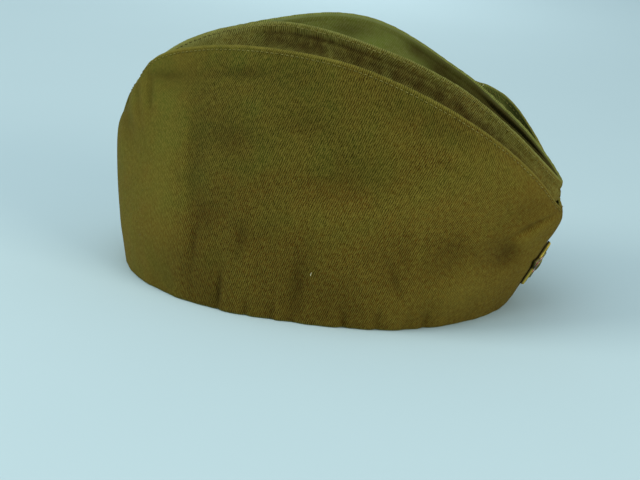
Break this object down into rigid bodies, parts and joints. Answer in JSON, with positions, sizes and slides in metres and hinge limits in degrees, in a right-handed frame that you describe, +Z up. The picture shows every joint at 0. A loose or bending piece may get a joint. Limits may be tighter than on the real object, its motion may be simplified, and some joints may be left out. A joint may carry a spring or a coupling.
{
  "type": "garrison cap",
  "caption": "Soft cotton twill side cap with two turned-up flaps round a crown folded along its top, and a star badge on the front seam.",
  "frame": {"origin": "under the middle of the cap's length, on the plane the rim rests on", "axes": "+X to the cap's front, +Y to the wearer's left, +Z up"},
  "size_m": [0.2326, 0.16, 0.1346],
  "materials": {
    "flap_twill": "olive drab cotton twill, fine diagonal rib, matt",
    "crown_twill": "olive drab cotton twill, matt",
    "top_twill": "olive drab cotton twill, slightly faded",
    "badge_brass": "polished brass, a little worn",
    "badge_enamel": "glossy red enamel"
  },
  "bodies": {
    "root": {"flap_right": "flap_twill", "flap_left": "flap_twill", "crown_wall_right": "crown_twill", "crown_wall_left": "crown_twill", "crown_top": "top_twill", "badge_star": "badge_brass", "badge_enamel": "badge_enamel", "badge_boss": "badge_brass", "badge_pin": "badge_brass"}
  },
  "joints": []
}
